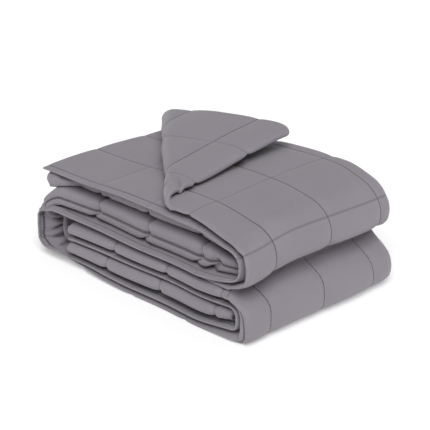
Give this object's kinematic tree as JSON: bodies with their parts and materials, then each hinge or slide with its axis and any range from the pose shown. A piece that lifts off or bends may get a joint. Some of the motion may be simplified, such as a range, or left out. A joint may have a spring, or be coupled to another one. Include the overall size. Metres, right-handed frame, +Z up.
{
  "type": "weighted blanket",
  "caption": "quilted weighted blanket folded into a rectangular stack, with one corner of its top layer turned back",
  "frame": {"origin": "middle of the bounding box in X and Y, on the floor under the stack", "axes": "+X along the folded runs, towards the end with the two stacked folds; +Y from the front, where the hems and rolls of the layers show, to the back folds; +Z up"},
  "size_m": [0.5762, 0.3988, 0.2619],
  "materials": {
    "blanket": "matte brushed microfibre, quilted in squares"
  },
  "bodies": {
    "root": {"blanket": "blanket"}
  },
  "joints": []
}
